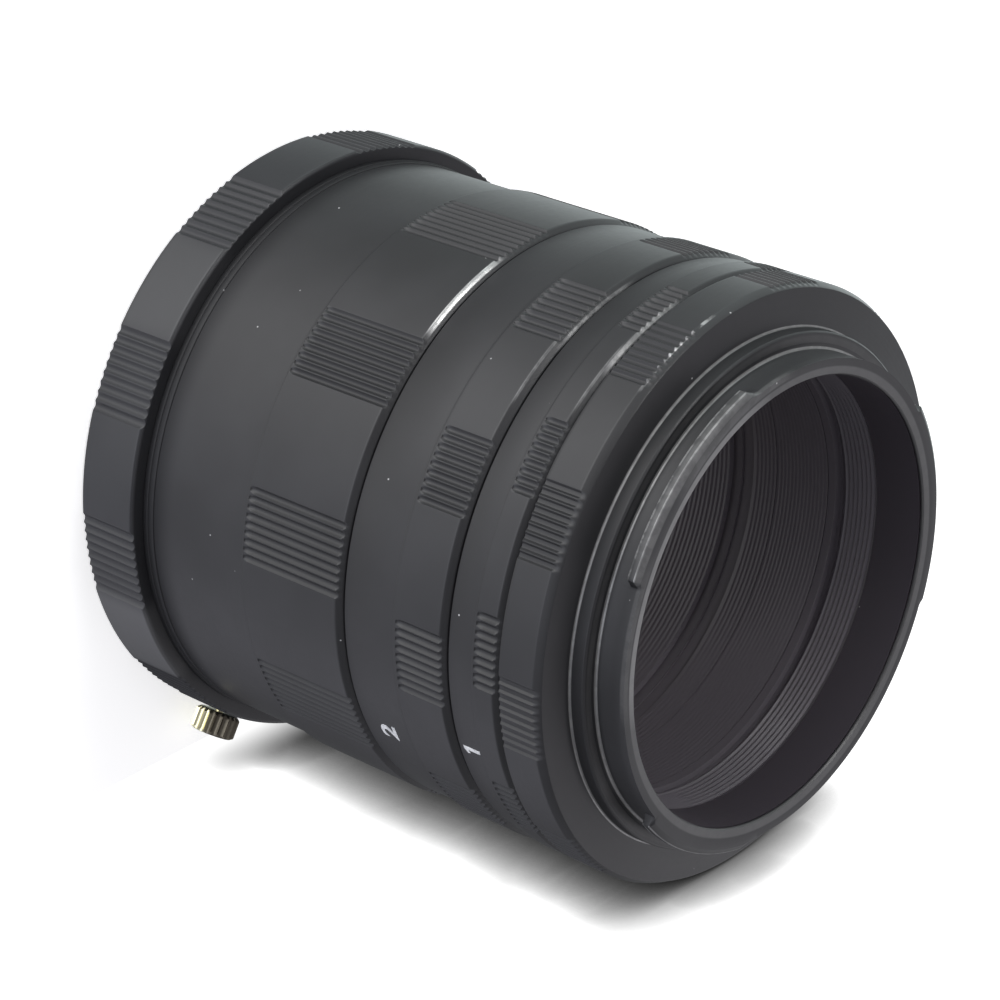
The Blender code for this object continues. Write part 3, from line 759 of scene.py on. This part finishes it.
def tube_bm(seat, band, grooves, front, patch, collar=()):
    """A tube from its seat to its front edge. Its grip band and the grooves start at heights of their own.

    A collar is the points of any steps beside the seat."""
    profile = [
        *stub_points(seat),
        *(collar or [(BODY_RADIUS, seat, 0.2)]),
        (BODY_RADIUS, band),
        (BAND_RADIUS, band, 0.06),
        (BAND_RADIUS, grooves),
        *((BAND_RADIUS, grooves + RUN_IN * (step / 8) ** 1.5) for step in range(1, 9)),
        (BAND_RADIUS, front - 0.9),
        (BAND_RADIUS, front - 0.66, 0.1),
        (BAND_RADIUS - 0.2, front - 0.44),
        (BAND_RADIUS - 0.4, front - 0.22),
        (BAND_RADIUS - 0.6, front, 0.1),
        *recess_points(front),
    ]
    bm = turn(profile, grip_stretches(TUBE_PITCH), patch - (GROOVES + 1) / 2 * TUBE_PITCH)
    mill_grips(bm, patch, TUBE_PITCH, BAND_RADIUS, grooves, GROOVE_DEPTH)
    return bm


def bore_bm(points):
    """A sleeve inside a piece: its inner wall from (radius, height) points listed upwards, closed behind."""
    profile = [(SLEEVE_BACK, points[0][1]), (SLEEVE_BACK, points[-1][1]), *points[::-1]]
    return turn(profile, SMOOTH_TURN)


def fine_steps(low, high, pitch, depth):
    """Light-trap grooves of a bore, as a saw edge from low to high."""
    count = round((high - low) / pitch)
    points = []
    for step in range(count):
        base = low + (high - low) * step / count
        points.append((BORE, base))
        points.append((BORE + depth, base + 0.45 * pitch))
    return points + [(BORE, high)]


# Bare bright front edge over one stretch: partly wear, partly a painted highlight
tube_3_black = anodised("long tube black", [(31.28, 35.1, 0.36, 236.0, 12.5, 1.0, 0.3)])
# Painted shade on the long tube beside the lens ring, fading out between 8.7 and 11.8 mm
paint_shade(tube_3_black, lambda height, angle: (1.0 - height.between(8.7, 11.8)) * 0.5)
LONG_COLLAR = [(31.17, 7.5), (31.17, 8.15, 0.06), (31.07, 8.2), (31.07, 8.85, 0.05), (BODY_RADIUS, 8.9)]
add_piece(
    "tube_3_turned",
    tube_bm(7.5, 22.0, 22.2, 35.55, 3.5, LONG_COLLAR),
    tube_3_black,
    "long_tube",
    "black_anodised",
    "tube_3",
)
# Blacks for the bores, grey, brown and purplish, lightened far above the outside black: painted light for the
# light that reaches inside
BORE_LIT_GREY = (0.12, 0.109, 0.123, 1.0)
BORE_LIT_BROWN = (0.16, 0.125, 0.1, 1.0)
BORE_LIT_PURPLE = (0.056, 0.049, 0.058, 1.0)
bore_edges = [(23.6, 56.42, 0.3, 0.0, 180.0, 0.12, 0.1)]
bore_black = anodised("bore black", bore_edges, 0.45, BORE_LIT_GREY, BORE_LIT_GREY, 0.0)
deep_bore_black = anodised("deep bore black", (), 0.45, BORE_LIT_BROWN, BORE_LIT_BROWN, 0.0)
add_piece(
    "tube_3_bore",
    bore_bm(fine_steps(5.55, 33.75, 0.55, 0.06)),
    deep_bore_black,
    "long_tube",
    "black_anodised",
    sharp=8.0,
)

# ---- Middle tube ----
# The tube marked 2, like the long one, with a plain relief turned in its bore.

tube_2_black = anodised(
    "middle tube black",
    [
        # Bare bright stretches on the front edges: partly wear, partly painted highlights where the light
        # catches them
        (30.85, 49.1, 0.3, 230.0, 12.0, 0.25, 0.5),
        (31.34, 48.62, 0.2, 246.0, 9.0, 0.2, 0.4),
    ],
)
add_piece(
    "tube_2_turned",
    tube_bm(35.75, 42.6, 42.95, 49.2, 16.75),
    tube_2_black,
    "middle_tube",
    "black_anodised",
    "tube_2",
)
middle_bore = [
    *fine_steps(33.85, 41.1, 0.55, 0.055),
    (BORE + 0.5, 41.3),
    (BORE + 0.5, 42.6),
    (BORE + 0.35, 42.65),
    (BORE + 0.5, 42.7),
    (BORE + 0.5, 44.1),
    (BORE + 0.1, 44.3),
    *fine_steps(44.8, 47.42, 0.48, 0.05),
]
add_piece("tube_2_bore", bore_bm(middle_bore), bore_black, "middle_tube", "black_anodised", sharp=8.0)

# ---- Short tube ----
# The tube marked 1, whose whole bore is turned with fine grooves.

tube_1_black = anodised(
    "short tube black",
    [
        # Bare bright stretches on the front edges: partly wear, partly painted highlights where the light
        # catches them
        (31.2, 55.62, 0.3, 232.0, 12.0, 0.33, 0.4),
        (31.34, 55.4, 0.2, 244.0, 9.0, 0.2, 0.4),
    ],
)
add_piece(
    "tube_1_turned",
    tube_bm(49.42, 52.75, 53.0, 56.0, 9.2),
    tube_1_black,
    "short_tube",
    "black_anodised",
    "tube_1",
)
add_piece(
    "tube_1_bore",
    bore_bm(fine_steps(47.5, 54.15, 0.48, 0.045)),
    bore_black,
    "short_tube",
    "black_anodised",
    sharp=8.0,
)

# ---- Camera ring ----
# The ring on the camera side: a grip rim, a flat flange face, a low step that centres it, and the bayonet
# neck with its three tabs. Its edges are bare and bright: partly rubbed wear, partly painted highlights and
# glints where the light catches them.

RIM_TOP = 61.2
STEP_TOP = 62.95
NECK_RADIUS = 25.2
NECK_TOP = 66.4
TAB_RADIUS = 26.2
TAB_LOW = 65.15
CAMERA_PATCH = 19.5

camera_profile = [
    *stub_points(56.15),
    (BAND_RADIUS, 56.15, 0.12),
    (BAND_RADIUS, 56.5),
    (BAND_RADIUS, 60.2),
    (BAND_RADIUS, 60.38, 0.1),
    (BAND_RADIUS - 0.2, 60.7),
    (BAND_RADIUS - 0.45, RIM_TOP, 0.12),
    (26.95, RIM_TOP, 0.2),
    (26.95, STEP_TOP - 0.2, 0.06),
    (26.75, STEP_TOP, 0.06),
    (24.6, STEP_TOP),
    (24.6, 61.0),
    (INNER_WALL, 61.0),
]
camera_bm = turn(
    camera_profile,
    grip_stretches(TUBE_PITCH),
    CAMERA_PATCH - (GROOVES + 1) / 2 * TUBE_PITCH,
)
mill_grips(camera_bm, CAMERA_PATCH, TUBE_PITCH, BAND_RADIUS, WHOLE_HEIGHT, GROOVE_DEPTH, ridge=0.05)
# The lock slot: a cylinder drawn out along the radius
LOCK_SLOT_ANGLE = 88.0
SLOT_RADIUS = 0.95 * MM
slot_bm = bmesh.new()
bmesh.ops.create_cone(
    slot_bm,
    cap_ends=True,
    segments=32,
    radius1=SLOT_RADIUS,
    radius2=SLOT_RADIUS,
    depth=3.0 * MM,
)
for vert in slot_bm.verts:
    vert.co.x += math.copysign(0.6 * MM, vert.co.x)
bmesh.ops.transform(slot_bm, matrix=round_place(PIN_CIRCLE, LOCK_SLOT_ANGLE, RIM_TOP), verts=slot_bm.verts)
camera_bm = carve(camera_bm, slot_bm)
camera_black = anodised(
    "camera ring black",
    [
        # Patchy bare specks along the grip rim's front edge are painted glints; the step's edge and the face
        # beside the neck are partly wear, partly painted highlight
        (31.28, 60.42, 0.2, 233.0, 12.0, 0.6, 1.0),
        (26.98, 61.27, 0.2, 0.0, 180.0, 0.5, 0.2),
        (25.9, 62.95, 0.8, 0.0, 180.0, 0.05, 0.2),
    ],
)
add_piece("camera_ring_rim", camera_bm, camera_black, "camera_side", "black_anodised", "camera_ring")

neck_profile = [
    (24.9, STEP_TOP - 0.5),
    (NECK_RADIUS + 0.6, STEP_TOP - 0.5),
    (NECK_RADIUS + 0.6, STEP_TOP + 0.005),
    (NECK_RADIUS, STEP_TOP + 0.005, 0.2),
    (NECK_RADIUS, TAB_LOW),
    (TAB_RADIUS, TAB_LOW, 0.06),
    (TAB_RADIUS, 66.0, 0.06),
    (25.6, NECK_TOP, 0.06),
    (24.65, NECK_TOP),
    (23.6, 66.27),
    (23.45, 66.1),
    (23.42, 65.95),
    (24.1, 65.9),
    (24.1, 60.1),
    (24.9, 60.1),
]
neck_bm = turn(neck_profile, [(SECTOR, 108)])

# Each tab: where its two ends leave the neck, and where it has its full width between them
TAB_ENDS = ((-20.5, -19.2, 20.0, 28.4), (100.9, 102.6, 154.3, 156.0), (224.5, 228.7, 276.6, 278.2))
draw_back(neck_bm, NECK_RADIUS, 1.0, TAB_ENDS, 64.0)
neck_black = anodised(
    "bayonet black",
    [
        # Bare bright lines at the neck's root, the tabs and the front rim: partly wear, partly painted
        # highlights, strongest on the side the light catches
        (25.27, 63.02, 0.22, 0.0, 180.0, 0.5, 0.2),
        (26.2, 65.2, 0.2, 0.0, 180.0, 0.5, 0.8),
        (26.2, 66.0, 0.14, 0.0, 180.0, 0.4, 0.4),
        (26.2, 65.6, 0.6, 250.0, 30.0, 0.12, 0.4),
        (25.9, 66.2, 0.5, 252.0, 34.0, 0.2, 0.3),
        (25.1, 66.4, 0.6, 235.0, 24.0, 0.13, 0.3),
        (25.1, 66.4, 0.6, 290.0, 22.0, 0.08, 0.3),
        (23.9, 66.3, 0.6, 267.0, 55.0, 0.34, 0.1),
        (23.9, 66.3, 0.6, 0.0, 180.0, 0.13, 0.1),
    ],
)
add_piece("camera_ring_bayonet", neck_bm, neck_black, "camera_side", "black_anodised")

camera_bore = [
    *fine_steps(54.25, 55.2, 0.45, 0.05),
    (BORE + 0.5, 55.4),
    (BORE + 0.5, 55.9),
    (BORE + 0.35, 55.95),
    (BORE + 0.5, 56.0),
    (BORE + 0.5, 56.4),
    *fine_steps(56.5, 60.4, 0.55, 0.17),
]
add_piece("camera_ring_bore", bore_bm(camera_bore), bore_black, "camera_side", "black_anodised")
smooth_bore = [(BORE + 0.05, 60.42), (BORE, 60.5), (BORE, 65.85)]
smooth_black = anodised("smooth bore black", (), 0.36, BORE_LIT_PURPLE, BORE_LIT_PURPLE, 0.02)
add_piece("camera_ring_smooth_bore", bore_bm(smooth_bore), smooth_black, "camera_side", "black_anodised")

# ---- Numbers ----
# A white number printed on each tube, in plain upright figures that read from the camera side.

white_paint, shader, wire = shader_of("white print")
fade = wire.noise(wire.place()[0], 2200.0, 3.0)
tint = fade.between(0.3, 0.7).mix((0.62, 0.63, 0.64, 1.0), (0.86, 0.87, 0.88, 1.0))
tint.into(shader, "Base Color")
shader.inputs["Roughness"].default_value = 0.55
PRINT_RISE = 0.02
PRINT_ROOT = 0.15
# Each digit, its body, angle and height on the tube, and how tall and wide it is
NUMBERS = (
    ("3", "long_tube", 13.0, 11.0, 2.15, 1.95),
    ("2", "middle_tube", 326.1, 39.15, 2.15, 1.95),
    ("1", "short_tube", 320.8, 51.15, 2.1, 0.9),
)
# The corners of the plain 1
ONE = ((0.43, 0.0), (0.85, 0.0), (0.85, 2.2), (0.5, 2.2), (0.0, 1.8), (0.08, 1.45), (0.43, 1.65))
for digit, body, angle, height, tall, wide in NUMBERS:
    bm = bmesh.new()
    if digit == "1":
        shape = bm.faces.new([bm.verts.new((across, up, 0.0)) for across, up in ONE])
        raised = bmesh.ops.extrude_face_region(bm, geom=[shape])["geom"]
        top = [item for item in raised if isinstance(item, bmesh.types.BMVert)]
        bmesh.ops.translate(bm, verts=top, vec=(0.0, 0.0, 0.1))
    else:
        curve = bpy.data.curves.new(f"number_{digit}", "FONT")
        curve.body = digit
        curve.extrude = 0.05
        curve.offset = 0.03
        text = bpy.data.objects.new("text", curve)
        bpy.context.scene.collection.objects.link(text)
        graph = bpy.context.evaluated_depsgraph_get()
        mesh = bpy.data.meshes.new_from_object(text.evaluated_get(graph))
        bpy.data.curves.remove(curve)
        bm.from_mesh(mesh)
        bpy.data.meshes.remove(mesh)
        bmesh.ops.remove_doubles(bm, verts=bm.verts, dist=1e-5)
    bmesh.ops.triangulate(bm, faces=bm.faces)
    bmesh.ops.subdivide_edges(bm, edges=bm.edges, cuts=3, use_grid_fill=True)
    across = [vert.co.x for vert in bm.verts]
    up = [vert.co.y for vert in bm.verts]
    left, right, foot, head = min(across), max(across), min(up), max(up)
    for vert in bm.verts:
        along = height - tall * ((vert.co.y - foot) / (head - foot) - 0.5)
        aside = wide * ((vert.co.x - left) / (right - left) - 0.5)
        turned = math.radians(angle) - aside / BODY_RADIUS
        radius = BODY_RADIUS + (PRINT_RISE if vert.co.z > 0 else -PRINT_ROOT)
        vert.co = (radius * math.cos(turned) * MM, radius * math.sin(turned) * MM, along * MM)
    bmesh.ops.recalc_face_normals(bm, faces=bm.faces)
    add_piece(f"number_{digit}", bm, white_paint, body, "black_anodised")
